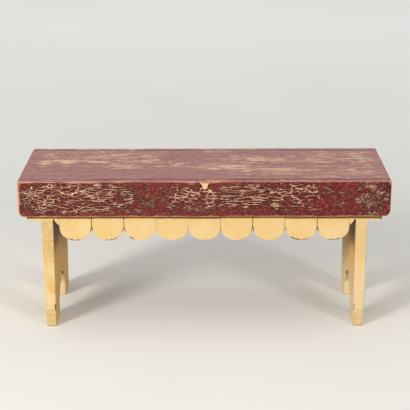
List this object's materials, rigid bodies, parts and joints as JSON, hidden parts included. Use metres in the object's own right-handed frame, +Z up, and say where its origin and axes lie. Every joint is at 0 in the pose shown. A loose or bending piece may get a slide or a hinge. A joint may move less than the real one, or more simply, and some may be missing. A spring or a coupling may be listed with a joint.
{
  "type": "wooden bench",
  "caption": "Low wooden bench: box-built seat in cracked burgundy paint on yellow slab legs with arched feet and a scalloped apron of round-ended staves.",
  "frame": {"origin": "on the floor, under the middle of the seat", "axes": "+X along the bench to the right as seen from the front, +Y to the back, +Z up"},
  "size_m": [1, 0.32, 0.425],
  "materials": {
    "burgundy_paint": "cracked satin paint over cream, worn at the edges",
    "yellow_paint": "brushed satin paint, lightly worn",
    "bare_pine": "unpainted sawn pine",
    "screw_steel": "zinc plated"
  },
  "bodies": {
    "root": {"apron_rail_back": "bare_pine", "apron_rail_front": "bare_pine", "apron_screws": "screw_steel", "batten_screws": "screw_steel", "cleat_screws": "screw_steel", "end_stave_back_left": "yellow_paint", "end_stave_back_right": "yellow_paint", "end_stave_front_left": "yellow_paint", "end_stave_front_right": "yellow_paint", "face_screws": "screw_steel", "leg_cleat_left": "bare_pine", "leg_cleat_right": "bare_pine", "leg_left": "yellow_paint", "leg_right": "yellow_paint", "seat_batten_left": "bare_pine", "seat_batten_right": "bare_pine", "seat_end_left": "burgundy_paint", "seat_end_right": "burgundy_paint", "seat_face_back": "burgundy_paint", "seat_face_front": "burgundy_paint", "seat_ledger_back": "bare_pine", "seat_ledger_front": "bare_pine", "seat_top_back": "burgundy_paint", "seat_top_front": "burgundy_paint", "stave_back_1": "yellow_paint", "stave_back_2": "yellow_paint", "stave_back_3": "yellow_paint", "stave_back_4": "yellow_paint", "stave_back_5": "yellow_paint", "stave_back_6": "yellow_paint", "stave_back_7": "yellow_paint", "stave_back_8": "yellow_paint", "stave_back_9": "yellow_paint", "stave_front_1": "yellow_paint", "stave_front_2": "yellow_paint", "stave_front_3": "yellow_paint", "stave_front_4": "yellow_paint", "stave_front_5": "yellow_paint", "stave_front_6": "yellow_paint", "stave_front_7": "yellow_paint", "stave_front_8": "yellow_paint", "stave_front_9": "yellow_paint", "top_screws": "screw_steel"}
  },
  "joints": []
}
